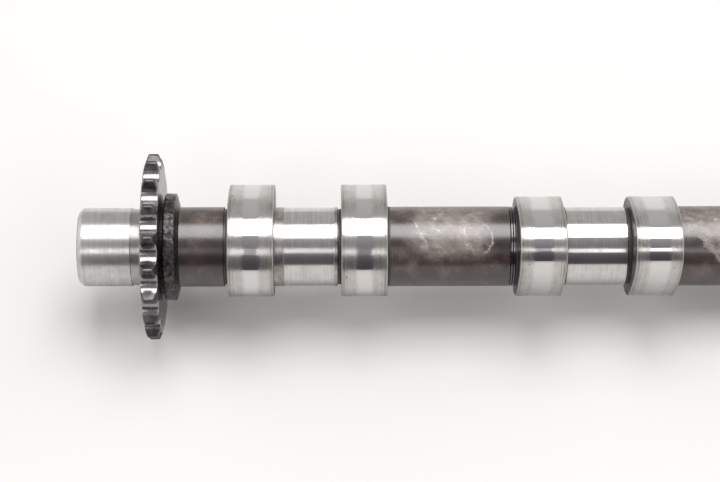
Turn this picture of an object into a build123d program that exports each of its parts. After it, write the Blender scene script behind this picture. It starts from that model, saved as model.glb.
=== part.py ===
from build123d import *
import os
from math import acos, asin, atan, atan2, cos, degrees, radians, sin, sqrt

# One-piece camshaft for one bank of a V8: cast in chilled iron, turned, and ground on its bearings and lobes.
# A roller chain drives it through the integral sprocket. Four pairs of lobes follow, with a bearing between
# the lobes of each pair. Stations are measured along the axis from the face at the sprocket end.

# Turned and ground shaft
journal_diameter = 24.0
shaft_diameter = 24.5
undercut_diameter = 23.2
undercut_width = 1.1
end_journal_length = 16.3
end_chamfer = 1.3
neck_length = 3.9
neck_diameter = 23.4
neck_fillet = 1.2
tail_length = 15.0
far_journal_length = 16.5

# Centre drillings that the shaft was turned and ground between
centre_pilot_diameter = 3.2
centre_mouth_diameter = 7.0
centre_depth = 9.0
centre_angle = 60.0

# Chain sprocket
teeth = 18
chain_pitch = 9.525
roller_diameter = 6.35
seat_clearance = 0.03
tooth_rise = 1.17
tip_rounding = 1.0
sprocket_thickness = 5.3
tooth_relief = 1.25
relief_radius = 9.5

# Rough collar behind the sprocket
collar_groove_width = 0.9
collar_groove_depth = 1.9
collar_width = 3.4
collar_diameter = 32.8
collar_draft = 1.1
collar_chamfer = 0.8

# Cam lobes: heel circle, two flank arcs and a nose arc
heel_diameter = 30.6
lift = 8.0
nose_radius = 9.8
flank_radius = 53.0
lobe_width = 14.1
lobe_chamfer = 0.35
run_to_first_lobe = 14.7
bearing_space = 20.5
cylinder_pitch = 88.0
# Directions of the noses of the four pairs, in degrees from straight up towards the front
nose_angles = (-100.0, 35.0, 125.0, -10.0)

# The first bearing is ground narrower than the others, between two turned shoulders
shoulder_diameter = 24.3
first_shoulder_length = 3.1
first_ground_length = 15.3

# Stations along the axis
sprocket_start = end_journal_length + neck_length
sprocket_end = sprocket_start + sprocket_thickness
collar_start = sprocket_end + collar_groove_width
collar_end = collar_start + collar_width
collar_foot = collar_end + collar_draft
first_lobe_start = collar_foot + run_to_first_lobe
second_lobe_offset = lobe_width + bearing_space
pair_length = second_lobe_offset + lobe_width
pair_starts = [first_lobe_start + index * cylinder_pitch for index in range(len(nose_angles))]
last_lobe_end = pair_starts[-1] + pair_length
far_journal_start = last_lobe_end + tail_length
overall_length = far_journal_start + far_journal_length

# Sprocket tooth form: a roller seat, a straight flank and a rounded tip, each tangent to the next
half_pitch_angle = 180 / teeth
pitch_radius = chain_pitch / 2 / sin(radians(half_pitch_angle))
seat_radius = roller_diameter / 2 + seat_clearance
tip_radius = pitch_radius + tooth_rise
tip_centre_radius = tip_radius - tip_rounding

# The sides of the teeth curve in towards the tips, so that the links run onto them easily
relief_depth = sqrt(relief_radius**2 - (relief_radius - tooth_relief) ** 2)
relief_start = tip_radius - relief_depth
relief_sweep = degrees(asin(min(1.0, (relief_depth + 0.5) / relief_radius)))

# At rest the shaft lies on two teeth and on the heel of its last lobe, so its axis dips towards the far end
rest_on_teeth = tip_centre_radius * cos(radians(half_pitch_angle)) + tip_rounding
rest_start = sprocket_end - tooth_relief
rest_end = last_lobe_end - lobe_chamfer
dip = atan((rest_on_teeth - heel_diameter / 2) / (rest_end - rest_start))

# The shaft's own frame. profile_plane holds the axis along its X. section_plane is square to the axis, with
# its X upwards and its Y towards the front.
along = Vector(cos(dip), 0, -sin(dip))
profile_plane = Plane(origin=(0, 0, 0), x_dir=along, z_dir=(0, -1, 0))
section_plane = Plane(origin=(0, 0, 0), x_dir=profile_plane.y_dir, z_dir=along)
shaft_axis = Axis((0, 0, 0), along)


def polar(radius, angle):
    """The point at that distance and angle from the axis."""
    return Vector(radius * cos(radians(angle)), radius * sin(radians(angle)))


def sprocket_outline():
    """The toothed outline, with a tooth space straight up and another straight down."""
    seat_from_tip = polar(pitch_radius, half_pitch_angle) - polar(tip_centre_radius, 0)
    opening = acos((seat_radius + tip_rounding) / seat_from_tip.length)
    flank_normal = degrees(atan2(seat_from_tip.Y, seat_from_tip.X) - opening)
    seat_sweep = 2 * (half_pitch_angle - flank_normal)
    with BuildLine() as outline:
        for index in range(teeth):
            tooth = (2 * index + 1) * half_pitch_angle
            space = tooth + half_pitch_angle
            next_tooth = space + half_pitch_angle
            tip_centre = polar(tip_centre_radius, tooth)
            next_tip_centre = polar(tip_centre_radius, next_tooth)
            tip = CenterArc(tip_centre, tip_rounding, tooth - flank_normal, 2 * flank_normal)
            seat = CenterArc(polar(pitch_radius, space), seat_radius, tooth + flank_normal + 180, seat_sweep)
            Line(tip @ 1, seat @ 0)
            Line(seat @ 1, next_tip_centre + polar(tip_rounding, next_tooth - flank_normal))
    make_face(outline.edges())


def lobe_outline():
    """Heel, two flanks and nose as four tangent arcs, with the nose along X."""
    heel_radius = heel_diameter / 2
    nose_centre = heel_radius + lift - nose_radius
    heel_reach = flank_radius - heel_radius
    nose_reach = flank_radius - nose_radius
    closing = (heel_reach**2 + nose_centre**2 - nose_reach**2) / (2 * heel_reach * nose_centre)
    heel_turn = 180 - degrees(acos(closing))
    flank_turn = heel_turn - degrees(asin(nose_centre * sin(radians(heel_turn)) / nose_reach))
    with BuildLine() as outline:
        CenterArc((0, 0), heel_radius, heel_turn, 360 - 2 * heel_turn)
        CenterArc((nose_centre, 0), nose_radius, -flank_turn, 2 * flank_turn)
        for side in (1, -1):
            flank_centre = polar(heel_reach, side * heel_turn + 180)
            CenterArc(flank_centre, flank_radius, side * flank_turn, side * (heel_turn - flank_turn))
    make_face(outline.edges())


def turned(start, length, diameter):
    """Half section of one cylindrical stretch of the shaft."""
    with Locations((start, 0)):
        Rectangle(length, diameter / 2, align=(Align.MIN, Align.MIN))


def cut_down(start, length, diameter):
    """Takes the half section down to that diameter over one stretch."""
    with Locations((start, diameter / 2)):
        Rectangle(length, collar_diameter, align=(Align.MIN, Align.MIN), mode=Mode.SUBTRACT)


# Sprocket blank with its teeth cut, rounded off on both sides towards the tips
with BuildPart() as sprocket:
    with BuildSketch():
        sprocket_outline()
    extrude(amount=sprocket_thickness)
    with BuildSketch(Plane.XZ):
        with BuildLine():
            side = CenterArc((relief_start, relief_radius), relief_radius, -90, relief_sweep)
            outer = (side @ 1).X
            Polyline(side @ 1, (outer, -tooth_relief), (relief_start, -tooth_relief), side @ 0)
        make_face()
        mirror(about=Plane.XZ.offset(-sprocket_thickness / 2))
    revolve(axis=Axis.Z, mode=Mode.SUBTRACT)

# One cam lobe, ground across its width, with its edges broken
with BuildPart() as lobe:
    with BuildSketch():
        lobe_outline()
    extrude(amount=lobe_width)
    rims = lobe.edges().group_by(Axis.Z)
    chamfer(rims[0] + rims[-1], lobe_chamfer)

# The whole camshaft is one solid
with BuildPart() as camshaft:
    with BuildSketch(profile_plane):
        turned(0, end_journal_length, journal_diameter)
        turned(end_journal_length, neck_length, neck_diameter)
        turned(sprocket_start, far_journal_start - sprocket_start, shaft_diameter)
        turned(far_journal_start, far_journal_length, journal_diameter)
        cut_down(far_journal_start, undercut_width, undercut_diameter)
        cut_down(first_lobe_start - undercut_width, undercut_width, undercut_diameter)
        first_space = first_lobe_start + lobe_width
        cut_down(first_space, bearing_space, undercut_diameter)
        turned(first_space, bearing_space - undercut_width, shoulder_diameter)
        cut_down(first_space + first_shoulder_length, first_ground_length, journal_diameter)
        for start in pair_starts[1:]:
            space = start + lobe_width
            cut_down(space, bearing_space, undercut_diameter)
            turned(space + undercut_width, bearing_space - 2 * undercut_width, journal_diameter)
        turned(sprocket_end, collar_groove_width, collar_diameter - 2 * collar_groove_depth)
        with BuildLine():
            Polyline(
                (collar_start, 0),
                (collar_start, collar_diameter / 2),
                (collar_end, collar_diameter / 2),
                (collar_foot, shaft_diameter / 2),
                (collar_foot, 0),
                close=True,
            )
        make_face()
    revolve(axis=shaft_axis)
    rims = camshaft.edges().filter_by(GeomType.CIRCLE)
    collar_rims = rims.filter_by(lambda rim: abs(2 * rim.radius - collar_diameter) < 0.001)
    chamfer(collar_rims, collar_chamfer)
    end_faces = camshaft.faces().sort_by(shaft_axis)
    chamfer(end_faces[0].edges() + end_faces[-1].edges(), end_chamfer)

    with Locations(section_plane.offset(sprocket_start)):
        add(sprocket.part)
    rims = camshaft.edges().filter_by(GeomType.CIRCLE)
    neck_rims = rims.filter_by(lambda rim: abs(2 * rim.radius - neck_diameter) < 0.001)
    fillet(neck_rims.sort_by(shaft_axis)[-1], neck_fillet)

    for start, nose_angle in zip(pair_starts, nose_angles):
        for lobe_start in (start, start + second_lobe_offset):
            with Locations(section_plane.offset(lobe_start).location * Rotation(0, 0, nose_angle)):
                add(lobe.part)

    end_planes = (Plane(section_plane.origin, section_plane.x_dir, -along), section_plane.offset(overall_length))
    with Locations(*end_planes):
        CounterSinkHole(centre_pilot_diameter / 2, centre_mouth_diameter / 2, centre_depth, centre_angle)

camshaft.part.label = "camshaft"
os.makedirs("parts", exist_ok=True)
export_step(camshaft.part, "parts/camshaft.step")
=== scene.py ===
import math

import bmesh
import bpy
from mathutils import Matrix, Vector, noise


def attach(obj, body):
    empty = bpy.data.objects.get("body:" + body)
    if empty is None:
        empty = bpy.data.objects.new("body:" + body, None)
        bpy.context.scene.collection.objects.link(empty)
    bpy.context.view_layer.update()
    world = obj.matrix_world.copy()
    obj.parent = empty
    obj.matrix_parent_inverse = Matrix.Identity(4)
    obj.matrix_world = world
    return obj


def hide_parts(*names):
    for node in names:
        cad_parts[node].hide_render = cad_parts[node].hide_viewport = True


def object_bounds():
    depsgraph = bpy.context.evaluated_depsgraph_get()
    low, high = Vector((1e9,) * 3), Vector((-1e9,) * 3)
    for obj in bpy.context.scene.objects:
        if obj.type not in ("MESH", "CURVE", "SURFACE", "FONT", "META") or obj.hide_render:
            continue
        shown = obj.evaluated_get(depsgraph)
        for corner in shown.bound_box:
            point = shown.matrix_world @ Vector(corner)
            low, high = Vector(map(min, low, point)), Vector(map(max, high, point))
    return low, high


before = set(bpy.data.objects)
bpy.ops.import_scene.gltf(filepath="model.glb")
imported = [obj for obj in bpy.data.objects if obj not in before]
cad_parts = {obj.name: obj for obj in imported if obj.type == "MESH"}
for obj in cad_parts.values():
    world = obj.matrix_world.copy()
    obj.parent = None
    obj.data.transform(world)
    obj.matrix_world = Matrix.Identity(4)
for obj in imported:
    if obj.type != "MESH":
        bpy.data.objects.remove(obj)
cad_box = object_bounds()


# ---- Shaft ----------------------------------------------------------------------------------------------
# The bar of chilled iron that carries everything, turned from end to end between its centre holes. Its
# bearings are then ground bright; between the cylinders it stays as turned, brown with burnt-on oil.

# Sizes are in mm, and stations run along the axis from the face at the sprocket end.
shaft_length = 389.8
shaft_radius = 12.25
journal_radius = 12.0
neck_radius = 11.7
shoulder_radius = 12.15
undercut_radius = 11.6
undercut_width = 1.1
far_journal_start = 374.4

# Where the lobes stand, and the bearings between the two of each cylinder. The undercuts reach a little way
# under the lobes.
first_lobe = 45.6
lobe_width = 14.1
bearing_space = 20.5
lobe_spacing = lobe_width + bearing_space
cylinder_spacing = 88.0
under_lobe = 1.0
first_shoulder_start = 59.0
first_ground = (62.8, 78.1)
second_shoulder_end = first_lobe + lobe_spacing - undercut_width
other_spaces = [first_lobe + lobe_width + cylinder * cylinder_spacing for cylinder in (1, 2, 3)]

# Three fine grooves just before the third lobe.
groove_stations = (131.6, 132.35, 133.1)
groove_pitch = 0.75
groove_half_width = 0.17
groove_radius = 12.0

# Half section from centre hole to centre hole: station and radius, and how far each corner is eased.
end_section = [
    (9.9, 0.0, 0), (9.0, 1.6, 0.1), (3.29, 1.6, 0.2), (0.0, 3.5, 0.25), (0.0, 10.7, 0.3),
    (1.3, journal_radius, 0.4),
]
half_section = end_section + [
    (16.3, journal_radius, 0.12), (16.3, neck_radius, 0.1), (19.0, neck_radius, 0.5), (19.95, 12.05, 0.5),
    (20.3, 13.2, 0.1), (20.9, shaft_radius, 0.1),
    (first_lobe - undercut_width, shaft_radius, 0.12), (first_lobe - undercut_width, undercut_radius, 0.1),
    (46.2, undercut_radius, 0.1), (46.2, shoulder_radius, 0.1),
    (first_shoulder_start, shoulder_radius, 0.05),
    (first_ground[0], shoulder_radius, 0.08), (first_ground[0], journal_radius, 0.05),
    (first_ground[1], journal_radius, 0.05), (first_ground[1], shoulder_radius, 0.05),
    (second_shoulder_end, shoulder_radius, 0.12), (second_shoulder_end, undercut_radius, 0.1),
    (81.0, undercut_radius, 0.1), (81.0, shaft_radius, 0.1),
]
for groove in groove_stations:
    half_section += [
        (groove - groove_half_width, shaft_radius, 0.04), (groove, groove_radius, 0.04),
        (groove + groove_half_width, shaft_radius, 0.04),
    ]

# The stretches that were ground, to which those of the other bearings are added below, and the ones that
# stayed as turned but bright. All the rest is brown.
ground_lengths = [(0.4, 19.3), first_ground, (far_journal_start, 389.4)]
turned_lengths = [
    (-1, 0.4), (19.3, 20.4), (59.1, first_ground[0]), (first_ground[1], second_shoulder_end), (131.4, 133.6),
    (389.4, 391),
]

for space in other_spaces:
    cut_start = space - under_lobe
    ground_start = space + undercut_width
    ground_end = space + bearing_space - undercut_width
    cut_end = space + bearing_space + under_lobe
    half_section += [
        (cut_start, shaft_radius, 0.1), (cut_start, undercut_radius, 0.1),
        (ground_start, undercut_radius, 0.1), (ground_start, journal_radius, 0.15),
        (ground_end, journal_radius, 0.15), (ground_end, undercut_radius, 0.1),
        (cut_end, undercut_radius, 0.1), (cut_end, shaft_radius, 0.1),
    ]
    ground_lengths.append((ground_start, ground_end))
far_undercut = far_journal_start - undercut_width
half_section += [
    (far_undercut, shaft_radius, 0.12), (far_undercut, undercut_radius, 0.1),
    (far_journal_start, undercut_radius, 0.1), (far_journal_start, journal_radius, 0.15),
]
half_section += [(shaft_length - station, radius, eased) for station, radius, eased in reversed(end_section)]

# At rest the shaft lies on two sprocket teeth and on the heel of its last lobe, so it dips to the far end.
tooth_count = 18
link_pitch = 9.525
tooth_height = 1.17
tooth_rounding = 1.0
tooth_relief = 1.25
sprocket_start = 20.2
sprocket_thickness = 5.3
heel_radius = 15.3
lobe_edge = 0.35
half_tooth_turn = math.pi / tooth_count
tip_centre_radius = 27.5963
rest_on_teeth = tip_centre_radius * math.cos(half_tooth_turn) + tooth_rounding
rest_start = sprocket_start + sprocket_thickness - tooth_relief
rest_end = other_spaces[-1] + bearing_space + lobe_width - lobe_edge
dip = math.atan((rest_on_teeth - heel_radius) / (rest_end - rest_start))
along = Vector((math.cos(dip), 0, -math.sin(dip)))
lie_down = Matrix.Rotation(dip, 4, "Y") @ Matrix.Scale(0.001, 4)


def ease_corners(section, steps=3):
    """The section with each corner rounded, and a point on each side of it that keeps the rest straight."""
    largest_share = 0.3
    support = 1.6
    points = [Vector(section[0][:2])]
    for before, corner, after in zip(section, section[1:], section[2:]):
        here = Vector(corner[:2])
        back = Vector(before[:2]) - here
        on = Vector(after[:2]) - here
        reach = min(corner[2], largest_share * back.length, largest_share * on.length)
        back.normalize()
        on.normalize()
        points.append(here + back * reach * support)
        for step in range(steps + 1):
            t = step / steps
            points.append(here + back * reach * (1 - t) ** 2 + on * reach * t ** 2)
        points.append(here + on * reach * support)
    points.append(Vector(section[-1][:2]))
    return points


def turn_on_lathe(name, points, around):
    """A half section turned about the shaft's axis: closed by its poles on the axis, or into a ring."""
    metal = bmesh.new()
    rings = []
    for station, radius in points:
        if radius < 1e-6:
            rings.append([metal.verts.new((station, 0, 0))])
        else:
            rings.append([
                metal.verts.new((station, -radius * math.sin(turn), radius * math.cos(turn)))
                for turn in (math.tau * step / around for step in range(around))
            ])
    last = [] if len(rings[0]) == 1 else [rings[0]]
    for ring, following in zip(rings, rings[1:] + last):
        for step in range(around):
            corners = [ring[step % len(ring)], ring[(step + 1) % len(ring)],
                       following[(step + 1) % len(following)], following[step % len(following)]]
            metal.faces.new(list(dict.fromkeys(corners)))
    bmesh.ops.recalc_face_normals(metal, faces=metal.faces)
    mesh = bpy.data.meshes.new(name)
    metal.to_mesh(mesh)
    metal.free()
    mesh.shade_smooth()
    piece = bpy.data.objects.new(name, mesh)
    bpy.context.scene.collection.objects.link(piece)
    return piece


class Field:
    """What a node tree works out at each point. Reckoning with a field adds math nodes to its tree."""

    def __init__(self, socket):
        self.socket = socket
        self.tree = socket.id_data

    def __add__(self, other):
        return work("ADD", self, other)

    def __sub__(self, other):
        return work("SUBTRACT", self, other)

    def __rsub__(self, other):
        return work("SUBTRACT", other, self)

    def __mul__(self, other):
        return work("MULTIPLY", self, other)

    def __truediv__(self, other):
        return work("DIVIDE", self, other)

    def __rtruediv__(self, other):
        return work("DIVIDE", other, self)

    def __mod__(self, other):
        return work("MODULO", self, other)

    def __lt__(self, other):
        return work("LESS_THAN", self, other)

    def __neg__(self):
        return work("MULTIPLY", self, -1)

    def __abs__(self):
        return work("ABSOLUTE", self)


def feed(socket, value):
    """Gives a socket a field, or a plain value."""
    if isinstance(value, Field):
        value.tree.links.new(value.socket, socket)
    else:
        socket.default_value = value


def work(operation, *values):
    """One math node fed with numbers and fields; gives its result."""
    tree = next(value.tree for value in values if isinstance(value, Field))
    node = tree.nodes.new("ShaderNodeMath")
    node.operation = operation
    for socket, value in zip(node.inputs, values):
        feed(socket, value)
    return Field(node.outputs[0])


def length(x, y):
    """How far a place is from the middle, from its two coordinates."""
    return work("SQRT", x * x + y * y)


def split(place):
    """The three coordinates of a place."""
    parts = place.tree.nodes.new("ShaderNodeSeparateXYZ")
    feed(parts.inputs[0], place)
    return [Field(output) for output in parts.outputs]


def new_finish(name):
    """A metal finish, its shader, and the place in the shaft's own mm: along it, to the back and up."""
    finish = bpy.data.materials.new(name)
    finish.use_nodes = True
    tree = finish.node_tree
    where = tree.nodes.new("ShaderNodeTexCoord")
    turned_level = tree.nodes.new("ShaderNodeMapping")
    turned_level.inputs["Rotation"].default_value = (0, -dip, 0)
    turned_level.inputs["Scale"].default_value = (1000, 1000, 1000)
    tree.links.new(where.outputs["Object"], turned_level.inputs["Vector"])
    return finish, tree.nodes["Principled BSDF"], Field(turned_level.outputs["Vector"])


def ground_round(shader, amount):
    """Grinding marks run round the shaft, so they spread its reflections along it."""
    shader.inputs["Anisotropic"].default_value = amount
    tree = shader.id_data
    facing = tree.nodes.new("ShaderNodeNewGeometry")
    round_it = tree.nodes.new("ShaderNodeVectorMath")
    round_it.operation = "CROSS_PRODUCT"
    round_it.inputs[0].default_value = along
    tree.links.new(facing.outputs["Normal"], round_it.inputs[1])
    along_it = tree.nodes.new("ShaderNodeVectorMath")
    along_it.operation = "CROSS_PRODUCT"
    tree.links.new(facing.outputs["Normal"], along_it.inputs[0])
    tree.links.new(round_it.outputs[0], along_it.inputs[1])
    tree.links.new(along_it.outputs[0], shader.inputs["Tangent"])


def grain(place, scale, stretch=(1, 1, 1), detail=3, roughness=0.55, seed=(0, 0, 0)):
    """Noise over the piece, stretched per axis; about 0 to 1."""
    lay = place.tree.nodes.new("ShaderNodeMapping")
    lay.inputs["Scale"].default_value = stretch
    lay.inputs["Location"].default_value = seed
    feed(lay.inputs["Vector"], place)
    texture = place.tree.nodes.new("ShaderNodeTexNoise")
    texture.inputs["Scale"].default_value = scale
    texture.inputs["Detail"].default_value = detail
    texture.inputs["Roughness"].default_value = roughness
    place.tree.links.new(lay.outputs["Vector"], texture.inputs["Vector"])
    return Field(texture.outputs["Fac"])


def fit_range(value, low, high, to_low=0.0, to_high=1.0, smooth=False):
    """value taken from one range to another, and held within it."""
    node = value.tree.nodes.new("ShaderNodeMapRange")
    node.interpolation_type = "SMOOTHSTEP" if smooth else "LINEAR"
    feed(node.inputs["Value"], value)
    for name, number in (("From Min", low), ("From Max", high), ("To Min", to_low), ("To Max", to_high)):
        node.inputs[name].default_value = number
    return Field(node.outputs["Result"])


def blend_colours(factor, first, second):
    """Mixes two colours, each a tuple or a field."""
    node = factor.tree.nodes.new("ShaderNodeMix")
    node.data_type = "RGBA"
    feed(node.inputs["Factor"], factor)
    for socket, colour in ((node.inputs[6], first), (node.inputs[7], second)):
        feed(socket, colour if isinstance(colour, Field) else (*colour, 1))
    return Field(node.outputs[2])


def from_top(back, up):
    """The angle round the shaft in radians, from straight up towards the front."""
    return work("ARCTAN2", -back, up)


def off_lobe(station):
    """How far it is along the shaft to the middle of the nearest lobe."""
    margin = 20.0
    in_cylinder = (station + (cylinder_spacing + margin - first_lobe)) % cylinder_spacing
    first_middle = margin + lobe_width / 2
    second_middle = first_middle + lobe_spacing
    return work("MINIMUM", abs(in_cylinder - first_middle), abs(in_cylinder - second_middle))


ground_iron, shader, place = new_finish("ground_iron")
shader.inputs["Metallic"].default_value = 1.0
ground_round(shader, 0.85)
station, back, up = split(place)
end_wear = fit_range(station, 20.0, 22.0, 1.0, 0.0)
first_wear = fit_range(station, 90.0, 100.0, 0.045, 0.0)
rings = grain(place, 1.0, (1.6, 0.03, 0.03))
fine_rings = grain(place, 1.0, (7.0, 0.03, 0.03), detail=4, seed=(3, 1, 2))
smudges = grain(place, 0.35, detail=4, seed=(7, 3, 1))
dull = fit_range(rings, 0.35, 0.65) * fit_range(smudges, 0.35, 0.65, 0.5, 1.0)
streaks = fit_range(fine_rings, 0.42, 0.62) * fit_range(smudges, 0.35, 0.60, 0.2, 1.0)
steel = blend_colours(dull, (0.62, 0.61, 0.60), (0.52, 0.505, 0.49))
steel = blend_colours(streaks, steel, (0.47, 0.455, 0.44))
# The neck was only turned.
on_neck = end_wear * fit_range(station, 16.0, 16.8)
feed(shader.inputs["Base Color"], blend_colours(on_neck, steel, (0.42, 0.40, 0.385)))
rough = fit_range(dull, 0.0, 1.0, 0.15, 0.20) + fit_range(fine_rings, 0.4, 0.7, 0.0, 0.04)
worn = end_wear * fit_range(smudges, 0.35, 0.65, 0.09, 0.17)
feed(shader.inputs["Roughness"], rough + worn + first_wear)

turned_iron, shader, place = new_finish("turned_iron")
shader.inputs["Metallic"].default_value = 1.0
ground_round(shader, 0.6)
station, back, up = split(place)
fine_rings = grain(place, 1.0, (7.0, 0.05, 0.05), seed=(6, 2, 4))
stains = grain(place, 0.30, detail=5, roughness=0.6, seed=(1, 7, 3))
bright = blend_colours(fit_range(stains, 0.38, 0.62), (0.46, 0.44, 0.42), (0.27, 0.245, 0.23))
# The dark colour in the three grooves is painted shade. The smooth lands between them carry a painted
# highlight, a light band round their upper front.
grooves_middle = 132.5
painted_highlight_turn = 0.62
at_grooves = abs(station - grooves_middle) < 1.1
in_step = (station - (groove_stations[0] - groove_pitch)) % groove_pitch
on_land = abs(in_step - groove_pitch / 2) < 0.2
# Painted highlight: the lands are coloured light in a band round their upper front.
painted_highlight = fit_range(abs(from_top(back, up) - painted_highlight_turn), 0.16, 0.06, smooth=True)
land_with_painted_highlight = blend_colours(painted_highlight, (0.13, 0.12, 0.125), (0.75, 0.73, 0.75))
# Painted shade: the grooves between the lands are coloured nearly black.
grooves = blend_colours(on_land, (0.08, 0.07, 0.07), land_with_painted_highlight)
feed(shader.inputs["Base Color"], blend_colours(at_grooves, bright, grooves))
rough = fit_range(fine_rings, 0.3, 0.7, 0.27, 0.38)
feed(shader.inputs["Roughness"], rough - at_grooves * 0.11)

oil_brown_iron, shader, place = new_finish("oil_brown_iron")
shader.inputs["Metallic"].default_value = 0.0
shader.inputs["Specular IOR Level"].default_value = 0.88
station, back, up = split(place)
angle = from_top(back, up)
cloud = grain(place, 0.12, detail=5, roughness=0.6, seed=(2, 5, 1))
fine_rings = grain(place, 1.0, (6.0, 0.08, 0.08), detail=4)
stain = blend_colours(fit_range(cloud, 0.4, 0.65), (0.018, 0.011, 0.010), (0.050, 0.032, 0.026))
# Two of the bare stretches were rubbed on their upper front: tan patches with pale wisps of scratches.
first_one = fit_range(station, 98.0, 106.0, smooth=True) * fit_range(station, 128.0, 121.0, smooth=True)
next_one = fit_range(station, 179.0, 184.5, smooth=True) * fit_range(station, 218.0, 206.0, smooth=True)
rubbed = work("MAXIMUM", first_one, next_one)
rubbed = rubbed * fit_range(angle, -0.9, 0.0, smooth=True)
rubbed = rubbed * fit_range(angle, 1.15, 0.50, smooth=True)
scuffs = grain(place, 0.30, (1.0, 1.4, 1.4), detail=9, roughness=0.66, seed=(4, 1, 9))
patch = fit_range(scuffs, 0.26, 0.72, 0.05, 1.0) * (rubbed + fit_range(cloud, 0.50, 0.72, 0.0, 0.35))
swirl = grain(place, 0.16, detail=4, roughness=0.58, seed=(8, 8, 2))
wisps = fit_range(abs(swirl - 0.50), 0.007, 0.001) * fit_range(scuffs, 0.48, 0.60, 0.0, 0.8) * rubbed
# The first one also has a hooked scratch and a long thin one, drawn over the surface rolled out flat.
hook_middle = (123.0, 5.0)
hook_reach = (3.0, 4.3)
girth = angle * shaft_radius + fit_range(swirl, 0.3, 0.7, -1.2, 1.2)
jitter = fit_range(grain(place, 1.3, detail=5, roughness=0.7, seed=(5, 2, 2)), 0.3, 0.7, -0.5, 0.5)
hook_x = (station - hook_middle[0]) / hook_reach[0]
hook_y = (girth - hook_middle[1]) / hook_reach[1]
off_hook = abs(length(hook_x, hook_y) + jitter * 0.22 - 1.0)
hook = fit_range(off_hook, 0.13, 0.0) * fit_range(hook_x, -0.1, 0.6, 0.0, 0.62)
off_line = abs(station - 102.9 - girth * 0.40 + jitter)
long_one = fit_range(off_line, 0.36, 0.0) * fit_range(girth, -2.5, -1.0, 0.0, 0.5)
long_one = long_one * fit_range(girth, 10.5, 4.0)
drawn = work("MAXIMUM", hook, long_one) * fit_range(scuffs, 0.40, 0.56, 0.25, 1.0)
wisps = work("MAXIMUM", wisps, drawn)
# The second one has a dark spot that was missed, with a pale scratch slanting down behind it.
slant = station - 188.6 - (angle - 0.38) * 8.7 + fit_range(scuffs, 0.3, 0.7, -1.0, 1.0)
past_lobe = fit_range(station, 182.5, 184.0)
missed = fit_range(angle, 0.30, 0.42, smooth=True) * fit_range(slant, 0.3, -0.8, smooth=True)
missed = missed * past_lobe * fit_range(angle, 1.2, 0.8, 0.3, 1.0)
patch = patch * (1 - missed * 0.85)
scratch = fit_range(abs(slant - 1.3), 1.3, 0.2, smooth=True) * fit_range(angle, 0.22, 0.42, smooth=True)
scratch = scratch * past_lobe * fit_range(station, 206.0, 200.0, 0.0, 0.75)
patch = work("MAXIMUM", patch, scratch * fit_range(angle, 1.3, 1.0))
stain = blend_colours(patch, stain, (0.25, 0.215, 0.19))
stain = blend_colours(wisps, stain, (0.60, 0.56, 0.52))
# Grime and painted shade darken the undercuts and the shaft along the feet of the lobes.
grime_and_painted_shade = fit_range(off_lobe(station), 7.3, 8.2, 0.95, 0.0, smooth=True)
feed(shader.inputs["Base Color"], blend_colours(grime_and_painted_shade, stain, (0.010, 0.008, 0.008)))
rough = fit_range(fine_rings, 0.3, 0.7, 0.24, 0.27) + patch * 0.14
feed(shader.inputs["Roughness"], rough + grime_and_painted_shade * 0.38)

shaft = turn_on_lathe("shaft", ease_corners(half_section), 160)
for finish in (oil_brown_iron, ground_iron, turned_iron):
    shaft.data.materials.append(finish)
for face in shaft.data.polygons:
    middle = face.center.x
    if any(start < middle < end for start, end in ground_lengths):
        face.material_index = 1
    elif any(start < middle < end for start, end in turned_lengths):
        face.material_index = 2
shaft.data.transform(lie_down)
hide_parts("camshaft")
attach(shaft, "root")


# ---- Sprocket -------------------------------------------------------------------------------------------
# The wheel that the timing chain turns, cut in one with the shaft: eighteen teeth for a 3/8 inch roller
# chain, hobbed and hardened. The rollers have rubbed their seats bright, and the rest is dark with old oil.


def named_input(tree, name, kind, value):
    """A named input of a tree, with its value for later."""
    socket = tree.interface.new_socket(name=name, in_out="INPUT", socket_type=kind)
    if kind != "NodeSocketMaterial":
        socket.default_value = value
    return socket.identifier, value


def make_from_tree(name, tree, settings):
    """Runs a tree on an empty mesh with its inputs set, and keeps the result as a plain mesh."""
    blank = bpy.data.objects.new(name, bpy.data.meshes.new(name + "_blank"))
    bpy.context.scene.collection.objects.link(blank)
    maker = blank.modifiers.new("maker", "NODES")
    maker.node_group = tree
    for identifier, value in settings:
        maker[identifier] = value
    bpy.context.view_layer.update()
    ready = blank.evaluated_get(bpy.context.evaluated_depsgraph_get())
    mesh = bpy.data.meshes.new_from_object(ready)
    blank.modifiers.remove(maker)
    old, blank.data = blank.data, mesh
    bpy.data.meshes.remove(old)
    mesh.name = name
    # The edges of the bore stay sharp, so that they don't shade the flat sides.
    mesh.set_sharp_from_angle(angle=math.radians(60))
    mesh.transform(lie_down)
    return blank


def pick(test, first, second):
    """first where the test holds, otherwise second."""
    chooser = test.tree.nodes.new("GeometryNodeSwitch")
    chooser.input_type = "FLOAT"
    feed(chooser.inputs["Switch"], test)
    feed(chooser.inputs["True"], first)
    feed(chooser.inputs["False"], second)
    return Field(chooser.outputs[0])


def sine(angle):
    """The sine of a field."""
    return work("SINE", angle)


def cosine(angle):
    """The cosine of a field."""
    return work("COSINE", angle)


def combine(x, y, z):
    """A place from its three coordinates, the first of them a field."""
    where = x.tree.nodes.new("ShaderNodeCombineXYZ")
    for socket, value in zip(where.inputs, (x, y, z)):
        feed(socket, value)
    return Field(where.outputs[0])


def numbered_grid(tree, rows, columns):
    """A grid with the row and column number of each point; one more row returns to the first one."""
    grid = tree.nodes.new("GeometryNodeMeshGrid")
    grid.inputs["Vertices X"].default_value = rows + 1
    grid.inputs["Vertices Y"].default_value = columns
    index = Field(tree.nodes.new("GeometryNodeInputIndex").outputs[0])
    row = work("FLOOR", (index + 0.5) / columns)
    return Field(grid.outputs["Mesh"]), row % rows, index - row * columns


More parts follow.
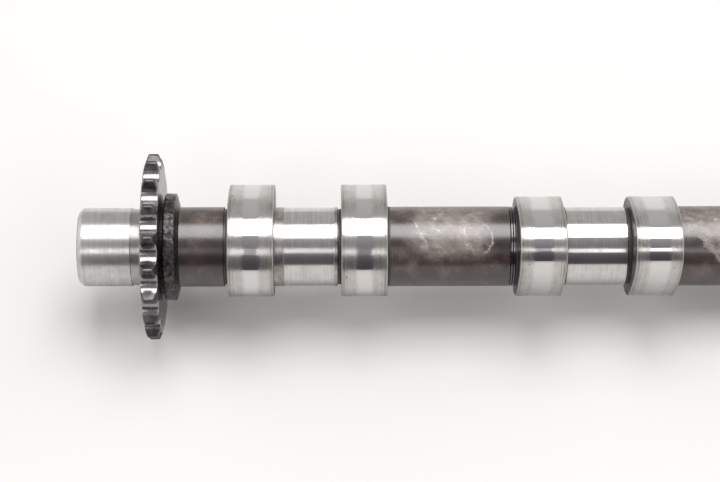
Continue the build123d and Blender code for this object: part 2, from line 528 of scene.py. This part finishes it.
def move_points(mesh, x, y, z):
    """Sets every point of a mesh to the place that the three fields give."""
    mover = mesh.tree.nodes.new("GeometryNodeSetPosition")
    feed(mover.inputs["Geometry"], mesh)
    feed(mover.inputs["Position"], combine(x, y, z))
    return Field(mover.outputs["Geometry"])


def repeat_on_shaft(tree, piece, count, station, turn, finish):
    """Copies of a piece, each at its station and turn, made one welded mesh with its faces outwards."""
    weld = 0.002
    line = tree.nodes.new("GeometryNodeMeshLine")
    line.inputs["Offset"].default_value = (0, 0, 0)
    feed(line.inputs["Count"], count)
    nodes = {}
    flow = line.outputs["Mesh"]
    for kind in ("SetPosition", "InstanceOnPoints", "RealizeInstances", "MergeByDistance", "FlipFaces",
                 "SetShadeSmooth", "SetMaterial"):
        nodes[kind] = tree.nodes.new("GeometryNode" + kind)
        tree.links.new(flow, nodes[kind].inputs[0])
        flow = nodes[kind].outputs[0]
    turning = tree.nodes.new("FunctionNodeEulerToRotation")
    feed(turning.inputs[0], combine(turn, 0, 0))
    feed(nodes["SetPosition"].inputs["Position"], combine(station, 0, 0))
    feed(nodes["InstanceOnPoints"].inputs["Instance"], piece)
    feed(nodes["InstanceOnPoints"].inputs["Rotation"], Field(turning.outputs[0]))
    feed(nodes["MergeByDistance"].inputs["Distance"], weld)
    feed(nodes["SetMaterial"].inputs["Material"], finish)
    tree.interface.new_socket(name="Geometry", in_out="OUTPUT", socket_type="NodeSocketGeometry")
    out = tree.nodes.new("NodeGroupOutput")
    tree.links.new(flow, out.inputs[0])


def raise_surface(shader, height, distance):
    """Bump from a height between 0 and 1; distance is its full depth in metres."""
    bump = height.tree.nodes.new("ShaderNodeBump")
    bump.inputs["Distance"].default_value = distance
    feed(bump.inputs["Height"], height)
    feed(shader.inputs["Normal"], Field(bump.outputs["Normal"]))


def facing_along(shader):
    """How squarely the surface faces along the shaft: 1 on the flat sides, 0 on what is turned."""
    tree = shader.id_data
    facing = tree.nodes.new("ShaderNodeNewGeometry")
    across = tree.nodes.new("ShaderNodeVectorMath")
    across.operation = "DOT_PRODUCT"
    across.inputs[1].default_value = along
    tree.links.new(facing.outputs["Normal"], across.inputs[0])
    return abs(Field(across.outputs["Value"]))


tooth_steel, shader, place = new_finish("tooth_steel")
shader.inputs["Metallic"].default_value = 1.0
station, back, up = split(place)
from_axis = length(back, up)
soot = grain(place, 0.5, detail=4, seed=(1, 2, 3))
dark = blend_colours(fit_range(soot, 0.35, 0.7), (0.060, 0.052, 0.056), (0.12, 0.11, 0.112))
rolled = fit_range(from_axis, 26.4, 25.9, smooth=True)
metal = blend_colours(rolled, dark, (0.30, 0.29, 0.29))
# The flat sides show the rings of the turning tool, blotched with oil.
tool_rings = grain(combine(from_axis, 0, 0), 1.6, detail=5, roughness=0.7)
side_metal = blend_colours(fit_range(tool_rings, 0.35, 0.65), (0.085, 0.079, 0.077), (0.130, 0.122, 0.118))
blotches = fit_range(grain(place, 0.16, detail=5, roughness=0.6, seed=(6, 6, 1)), 0.48, 0.66, 0.0, 0.6)
side_metal = blend_colours(blotches, side_metal, (0.055, 0.045, 0.040))
flat_side = fit_range(facing_along(shader), 0.80, 0.95)
feed(shader.inputs["Base Color"], blend_colours(flat_side, metal, side_metal))
feed(shader.inputs["Roughness"], fit_range(soot, 0.3, 0.7, 0.27, 0.40) - rolled * 0.10)
raise_surface(shader, grain(place, 3.0), 0.000004)

tree = bpy.data.node_groups.new("sprocket_cutter", "GeometryNodeTree")
settings = [
    named_input(tree, "Teeth", "NodeSocketInt", tooth_count),
    named_input(tree, "Chain Pitch", "NodeSocketFloat", link_pitch),
    named_input(tree, "Seat Radius", "NodeSocketFloat", 3.205),
    named_input(tree, "Tooth Rise", "NodeSocketFloat", tooth_height),
    named_input(tree, "Tip Rounding", "NodeSocketFloat", tooth_rounding),
    named_input(tree, "Thickness", "NodeSocketFloat", sprocket_thickness),
    named_input(tree, "Relief", "NodeSocketFloat", tooth_relief),
    named_input(tree, "Relief Radius", "NodeSocketFloat", 9.5),
    named_input(tree, "Edge Rounding", "NodeSocketFloat", 0.28),
    named_input(tree, "Bore", "NodeSocketFloat", 11.5),
    named_input(tree, "Station", "NodeSocketFloat", sprocket_start),
    named_input(tree, "Finish", "NodeSocketMaterial", tooth_steel),
]
given = tree.nodes.new("NodeGroupInput")
(teeth, chain_pitch, seat_radius, tooth_rise, tip_rounding, thickness, relief, relief_radius, edge, bore,
 start, finish) = [Field(given.outputs[i]) for i in range(len(settings))]

# Each column is a point of the outline, which runs from one tooth's crown, round the seat beside it, to the
# next tooth's crown. Each row is the outline again, and the rows go from the bore up one side, over the rim
# and down the other side: bore, root, three steps up the relieved side of the tooth, three round its edge,
# one on the rim that keeps it straight, and the same back.
tip_points = 7
seat_points = 13
past_seat = tip_points + seat_points
side_row = 2
edge_row = 5
last_edge_row = 8
rim_row = 9
mesh, row, column = numbered_grid(tree, 2 * rim_row + 1, 2 * tip_points + seat_points)
half_angle = math.pi / teeth
pitch_radius = chain_pitch * 0.5 / sine(half_angle)
tip_radius = pitch_radius + tooth_rise
tip_centre = tip_radius - tip_rounding

# The direction that a flank faces, from its tooth's middle line, where it is tangent to the tip and the seat.
across = pitch_radius * sine(half_angle)
down = pitch_radius * cosine(half_angle) - tip_centre
opening = work("ARCCOSINE", (seat_radius + tip_rounding) / length(across, down))
flank = work("ARCTAN2", across, down) - opening

# How far each row has climbed the side and turned round the edge, and from these how far it lies inside the
# outline and in from the flat side.
fold = work("MINIMUM", row, 2 * rim_row - row)
climb = fit_range(fold, side_row, edge_row)
turn = fit_range(fold, edge_row, last_edge_row, 0.0, math.pi / 2)
inset = edge * (1 - sine(turn)) + edge * fit_range(fold, side_row, edge_row, 0.9, 0.0)
depth = edge * (1 - cosine(turn)) + edge * pick(fold < rim_row - 0.5, 0.0, 0.6)


def along_outline(on_last_tip, in_seat, on_next_tip):
    """What holds on the part of the outline where the column is."""
    return pick(column < tip_points - 0.5, on_last_tip, pick(column < past_seat - 0.5, in_seat, on_next_tip))


# Each part is an arc, with its centre at a radius and angle from the shaft's axis.
last_tip_share = column / (tip_points - 1)
seat_share = (column - tip_points) / (seat_points - 1)
next_tip_share = (column - past_seat) / (tip_points - 1)
seat_first = flank - half_angle + math.pi
seat_sweep = (half_angle - flank) * 2
direction = along_outline(
    last_tip_share * flank - half_angle, seat_first + seat_share * seat_sweep,
    half_angle + (next_tip_share - 1) * flank,
)
arc_angle = along_outline(-half_angle, 0.0, half_angle)
arc_centre = along_outline(tip_centre, pitch_radius, tip_centre)
arc_radius = along_outline(tip_rounding - inset, seat_radius + inset, tip_rounding - inset)
out_x = arc_centre * cosine(arc_angle) + arc_radius * cosine(direction)
out_y = arc_centre * sine(arc_angle) + arc_radius * sine(direction)
reach = length(out_x, out_y)

# The sides of the teeth lean in towards the tips, each on an arc that starts at the relief line.
rounding = relief_radius - relief
relief_line = tip_radius - work("SQRT", relief_radius * relief_radius - rounding * rounding)
under_seat = 1.5
root = pitch_radius - seat_radius - under_seat
climbed = relief_line + climb * (reach - relief_line)
kept = pick(fold < 0.5, bore, pick(fold < 1.5, root, work("MINIMUM", reach, climbed)))
past_line = work("MAXIMUM", kept - relief_line, 0)
lean = relief_radius - work("SQRT", relief_radius * relief_radius - past_line * past_line)
side = depth + lean
width = pick(row < rim_row + 0.5, side, thickness - side)
spread = kept / reach
tooth = move_points(mesh, width, -(out_y * spread), out_x * spread)
copy = Field(tree.nodes.new("GeometryNodeInputIndex").outputs[0])
repeat_on_shaft(tree, tooth, teeth, start, half_angle * 2 * copy, finish)

sprocket = make_from_tree("sprocket", tree, settings)
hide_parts("camshaft")
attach(sprocket, "root")


# ---- Collar ---------------------------------------------------------------------------------------------
# The flange behind the sprocket that keeps the camshaft from moving endways, cast in one with the shaft. Its
# rim is left as cast, dark and dimpled by the sand, and a narrow groove parts it from the sprocket.
collar_section = [
    (25.1, 11.0, 0), (25.1, 14.5, 0.1), (26.4, 14.5, 0.15), (26.4, 16.1, 0.15), (26.7, 16.4, 0.2),
    (29.7, 16.4, 0.12), (29.85, 16.1, 0.12), (30.9, 12.3, 0.3), (31.6, 11.0, 0),
]
step_length = 0.35
eased = ease_corners(collar_section)
walk = []
for first, second in zip(eased, eased[1:]):
    pieces = max(1, round((second - first).length / step_length))
    walk += [first.lerp(second, step / pieces) for step in range(pieces)]
walk.append(eased[-1])
collar = turn_on_lathe("collar", walk, 240)

# The sand left its rim uneven by a few tenths of a millimetre.
rough_from = 14.9
for point in collar.data.vertices:
    outward = Vector((0, point.co.y, point.co.z))
    if outward.length > rough_from:
        lump = noise.noise(point.co * 0.55) * 0.22 + noise.noise(point.co * 1.4) * 0.10
        point.co += outward.normalized() * (lump - 0.1)
        point.co.x += noise.noise(point.co * 0.9 + Vector((9, 4, 2))) * 0.10

cast_iron, shader, place = new_finish("cast_iron")
shader.inputs["Metallic"].default_value = 0.8
station, back, up = split(place)
dimples = grain(place, 0.8, detail=5, roughness=0.65)
rim = blend_colours(fit_range(dimples, 0.40, 0.66), (0.025, 0.021, 0.021), (0.105, 0.098, 0.099))
# Painted shade: the groove beside the sprocket and the foot of the collar are coloured nearly black.
painted_shade_off_rim = fit_range(abs(station - 28.1), 1.6, 1.9)
feed(shader.inputs["Base Color"], blend_colours(painted_shade_off_rim, rim, (0.012, 0.010, 0.010)))
feed(shader.inputs["Roughness"], fit_range(dimples, 0.3, 0.7, 0.33, 0.25))
raise_surface(shader, dimples, 0.00022)
collar.data.materials.append(cast_iron)
collar.data.transform(lie_down)
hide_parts("camshaft")
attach(collar, "root")


# ---- Cam lobes ------------------------------------------------------------------------------------------
# Eight lobes of chilled iron, two to a cylinder, which open the valves through their followers. Each is
# ground across its whole width to a heel, two flanks and a nose, and its followers have run a bright track
# round the middle.
lobe_iron, shader, place = new_finish("lobe_iron")
shader.inputs["Metallic"].default_value = 1.0
ground_round(shader, 0.8)
station, back, up = split(place)
off_middle = off_lobe(station)
# The followers' track is the smoothest part, a little wider after the first cylinder and soft at its edges.
wander = grain(place, 0.22, seed=(9, 2, 6))
near_track = off_middle + fit_range(wander, 0.3, 0.7, -0.4, 0.4) - fit_range(station, 100.0, 130.0, 0.0, 0.6)
track = fit_range(near_track, 1.5, 3.2, 1.0, 0.0, smooth=True)
rings = grain(place, 1.0, (1.6, 0.03, 0.03), seed=(5, 5, 5))
fine_rings = grain(place, 1.0, (8.0, 0.05, 0.05), seed=(1, 5, 2))
smudges = grain(place, 0.3, detail=5, seed=(4, 8, 1))
dull = fit_range(rings, 0.35, 0.65, 0.5, 1.0) * fit_range(smudges, 0.35, 0.65)
beside = blend_colours(dull, (0.52, 0.50, 0.48), (0.43, 0.41, 0.39))
beside = blend_colours(fit_range(off_middle, 5.2, 6.9, smooth=True), beside, (0.36, 0.335, 0.31))
metal = blend_colours(track, beside, (0.62, 0.61, 0.605))
# Dark lines run round near the edges, broken here and there, with pits between them.
inner_line = fit_range(abs(off_middle - 5.3), 0.13, 0.05)
outer_line = fit_range(abs(off_middle - 6.2), 0.20, 0.08)
breaks = fit_range(grain(place, 0.20, detail=4, seed=(3, 6, 6)), 0.44, 0.60, 0.0, 0.5)
pits = fit_range(grain(place, 0.9, detail=2, seed=(2, 2, 7)), 0.70, 0.74)
pits = pits * fit_range(off_middle, 3.5, 5.0, 0.0, 0.9)
marks = work("MAXIMUM", work("MAXIMUM", inner_line, outer_line) * breaks, pits)
metal = blend_colours(marks, metal, (0.06, 0.05, 0.045))
# The flat sides were only turned, and are dark with old oil.
end_on = facing_along(shader)
broken_edge = fit_range(end_on, 0.15, 0.35, 0.0, 0.8)
metal = blend_colours(broken_edge, metal, (0.44, 0.43, 0.42))
oily = blend_colours(fit_range(smudges, 0.35, 0.65), (0.045, 0.035, 0.032), (0.14, 0.12, 0.11))
flat_side = fit_range(end_on, 0.85, 0.97)
feed(shader.inputs["Base Color"], blend_colours(flat_side, metal, oily))
rough = fit_range(dull, 0.0, 1.0, 0.24, 0.30) + fit_range(fine_rings, 0.4, 0.7, 0.0, 0.06)
rough = rough + fit_range(off_middle, 5.0, 6.8, 0.0, 0.08)
feed(shader.inputs["Roughness"], rough - track * (rough - 0.12))

tree = bpy.data.node_groups.new("lobe_grinder", "GeometryNodeTree")
settings = [
    named_input(tree, "Heel Radius", "NodeSocketFloat", heel_radius),
    named_input(tree, "Lift", "NodeSocketFloat", 8.0),
    named_input(tree, "Nose Radius", "NodeSocketFloat", 9.8),
    named_input(tree, "Flank Radius", "NodeSocketFloat", 53.0),
    named_input(tree, "Width", "NodeSocketFloat", lobe_width),
    named_input(tree, "Edge Rounding", "NodeSocketFloat", lobe_edge),
    named_input(tree, "Bore", "NodeSocketFloat", 10.8),
    named_input(tree, "First Lobe", "NodeSocketFloat", first_lobe),
    named_input(tree, "Lobe Spacing", "NodeSocketFloat", lobe_spacing),
    named_input(tree, "Cylinder Spacing", "NodeSocketFloat", cylinder_spacing),
    named_input(tree, "Nose 1", "NodeSocketFloat", math.radians(-100)),
    named_input(tree, "Nose 2", "NodeSocketFloat", math.radians(35)),
    named_input(tree, "Nose 3", "NodeSocketFloat", math.radians(125)),
    named_input(tree, "Nose 4", "NodeSocketFloat", math.radians(-10)),
    named_input(tree, "Finish", "NodeSocketMaterial", lobe_iron),
]
given = tree.nodes.new("NodeGroupInput")
(heel, lift, nose, flank, width, edge, bore, first_start, second_offset, pair_offset,
 nose_1, nose_2, nose_3, nose_4, finish) = [Field(given.outputs[i]) for i in range(len(settings))]

# Rows: bore, side, three steps round the edge, band, and the same again from the other side.
around = 240
edge_row = 2
last_edge_row = 5
band_row = 6
mesh, row, column = numbered_grid(tree, 2 * band_row + 2, around + 1)
fold = work("MINIMUM", row, 2 * band_row + 1 - row)
turn = fit_range(fold, edge_row, last_edge_row, 0.0, math.pi / 2)
inset = edge * (1 - sine(turn)) + edge * pick(fold < edge_row - 0.5, 0.7, 0.0)
depth = edge * (1 - cosine(turn)) + edge * pick(fold < band_row - 0.5, 0.0, 0.8)

# The angles from the nose at which one arc hands over to the next, from the triangle of the arcs' centres.
nose_centre = heel + lift - nose
heel_reach = flank - heel
nose_reach = flank - nose
closing = heel_reach * heel_reach + nose_centre * nose_centre - nose_reach * nose_reach
heel_turn = math.pi - work("ARCCOSINE", closing / (heel_reach * nose_centre * 2))
flank_turn = heel_turn - work("ARCSINE", nose_centre * sine(heel_turn) / nose_reach)
nose_turn = work("ARCTAN2", nose * sine(flank_turn), nose_centre + nose * cosine(flank_turn))

# How far the outline is from the axis at each angle, on the arc whose centre and radius hold there.
angle = column * (math.tau / around) - math.pi
apart = abs(angle)


def on_arc(at_nose, on_flank, on_heel):
    """What holds on the arc that the outline follows at this angle."""
    return pick(apart < nose_turn, at_nose, pick(apart < heel_turn, on_flank, on_heel))


centre_x = on_arc(nose_centre, -heel_reach * cosine(heel_turn), 0.0)
centre_y = on_arc(0.0, -heel_reach * sine(heel_turn), 0.0)
arc = on_arc(nose, flank, heel) - inset
near = centre_x * cosine(apart) + centre_y * sine(apart)
off = centre_x * sine(apart) - centre_y * cosine(apart)
reach = pick(fold < 0.5, bore, near + work("SQRT", arc * arc - off * off))
in_width = pick(row < band_row + 0.5, depth, width - depth)
lobe = move_points(mesh, in_width, -reach * sine(angle), reach * cosine(angle))

# Two lobes to each cylinder, and each cylinder's pair turned its own way.
lobe_count = 8
copy = Field(tree.nodes.new("GeometryNodeInputIndex").outputs[0])
cylinder = work("FLOOR", (copy + 0.25) * 0.5)
in_pair = copy - cylinder * 2
lobe_start = first_start + (cylinder * pair_offset + in_pair * second_offset)
nose_angle = pick(cylinder < 0.5, nose_1, pick(cylinder < 1.5, nose_2, pick(cylinder < 2.5, nose_3, nose_4)))
repeat_on_shaft(tree, lobe, lobe_count, lobe_start, nose_angle, finish)

lobes = make_from_tree("cam_lobes", tree, settings)
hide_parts("camshaft")
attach(lobes, "root")


# ---- Floor, light and camera ----------------------------------------------------------------------------
# A plain pale floor under the teeth and the last lobe, a large soft light overhead and a little to the back,
# two weaker ones to the left and right of the camera, bright walls beyond both ends of the shaft, and the
# camera above the front of the sprocket end.
floor_reach = 4
floor_level = cad_box[0][2]
corner_signs = ((-1, -1), (1, -1), (1, 1), (-1, 1))
floor_corners = [(floor_reach * x, floor_reach * y, floor_level) for x, y in corner_signs]
floor_mesh = bpy.data.meshes.new("floor")
floor_mesh.from_pydata(floor_corners, [], [(0, 1, 2, 3)])
floor = bpy.data.objects.new("floor", floor_mesh)
bpy.context.scene.collection.objects.link(floor)
floor_paint = bpy.data.materials.new("floor_paint")
floor_paint.use_nodes = True
shader = floor_paint.node_tree.nodes["Principled BSDF"]
shader.inputs["Base Color"].default_value = (0.55, 0.54, 0.53, 1)
shader.inputs["Roughness"].default_value = 0.8
floor_mesh.materials.append(floor_paint)

# The walls grow lighter from the front to the back.
room = bpy.data.worlds.new("room")
room.use_nodes = True
tree = room.node_tree
looking = Field(tree.nodes.new("ShaderNodeTexCoord").outputs["Generated"])
sideways, back, up = split(looking)
walls = tree.nodes.new("ShaderNodeValToRGB")
feed(walls.inputs["Fac"], fit_range(back, -1.0, 1.0))
shades = [
    (0.0, (0.08, 0.07, 0.08)), (0.04, (0.11, 0.095, 0.11)), (0.10, (0.20, 0.185, 0.20)),
    (0.30, (0.36, 0.345, 0.36)), (0.43, (0.48, 0.47, 0.48)), (0.70, (0.50, 0.49, 0.49)),
    (0.90, (0.60, 0.59, 0.58)), (1.0, (0.62, 0.61, 0.60)),
]
for stop, (position, shade) in enumerate(shades):
    mark = walls.color_ramp.elements[stop] if stop < 2 else walls.color_ramp.elements.new(position)
    mark.position = position
    mark.color = (*shade, 1)
mirrored = Field(tree.nodes.new("ShaderNodeLightPath").outputs["Is Glossy Ray"])
windows = blend_colours(mirrored, (2.2, 2.2, 2.2), (1.2, 1.2, 1.2))
beyond_ends = fit_range(abs(sideways), 0.40, 0.70, smooth=True)
surroundings = blend_colours(beyond_ends, Field(walls.outputs["Color"]), windows)
feed(tree.nodes["Background"].inputs["Color"], surroundings)
bpy.context.scene.world = room

square_up = Vector((math.sin(dip), 0, math.cos(dip)))
front = Vector((0, -1, 0))


def soft_light(name, towards, distance, station, wide, deep, power):
    """A soft box facing the shaft, at an angle from straight up towards the front. Lengths are in metres."""
    lamp = bpy.data.lights.new(name, "AREA")
    lamp.shape = "RECTANGLE"
    lamp.size = wide
    lamp.size_y = deep
    lamp.energy = power
    box = bpy.data.objects.new(name, lamp)
    bpy.context.scene.collection.objects.link(box)
    out = square_up * math.cos(math.radians(towards)) + front * math.sin(math.radians(towards))
    side = along.cross(out).normalized()
    box.matrix_world = Matrix((along, -side, out)).transposed().to_4x4()
    box.matrix_world.translation = along * station + out * distance


soft_light("overhead", towards=-11.2, distance=1.1, station=0.16, wide=0.72, deep=0.79, power=10.7)
soft_light("left_of_camera", towards=46.5, distance=1.3, station=-0.34, wide=0.50, deep=0.32, power=1.7)
soft_light("right_of_camera", towards=48.5, distance=1.3, station=0.595, wide=0.50, deep=0.24, power=1.5)

# The camera looks at the second lobe from above the front, with its places along the shaft in metres.
camera_angle = math.radians(35)
camera_distance = 0.680
camera_station = 0.0787
aim_station = 0.0860
aim_rise = 0.0017
roll = math.radians(0.136)
lens = bpy.data.cameras.new("camera")
lens.lens = 110.5
lens.sensor_width = 36
camera = bpy.data.objects.new("camera", lens)
bpy.context.scene.collection.objects.link(camera)
out = square_up * math.cos(camera_angle) + front * math.sin(camera_angle)
rise = square_up * math.sin(camera_angle) - front * math.cos(camera_angle)
eye = along * camera_station + out * camera_distance
aim = along * aim_station + rise * aim_rise
ahead = (aim - eye).normalized()
level = (along - ahead * along.dot(ahead)).normalized()
upright = level.cross(ahead)
right = level * math.cos(roll) - upright * math.sin(roll)
top = upright * math.cos(roll) + level * math.sin(roll)
camera.matrix_world = Matrix((right, top, -ahead)).transposed().to_4x4()
camera.matrix_world.translation = eye
bpy.context.scene.camera = camera
bpy.context.scene.view_settings.view_transform = "Standard"
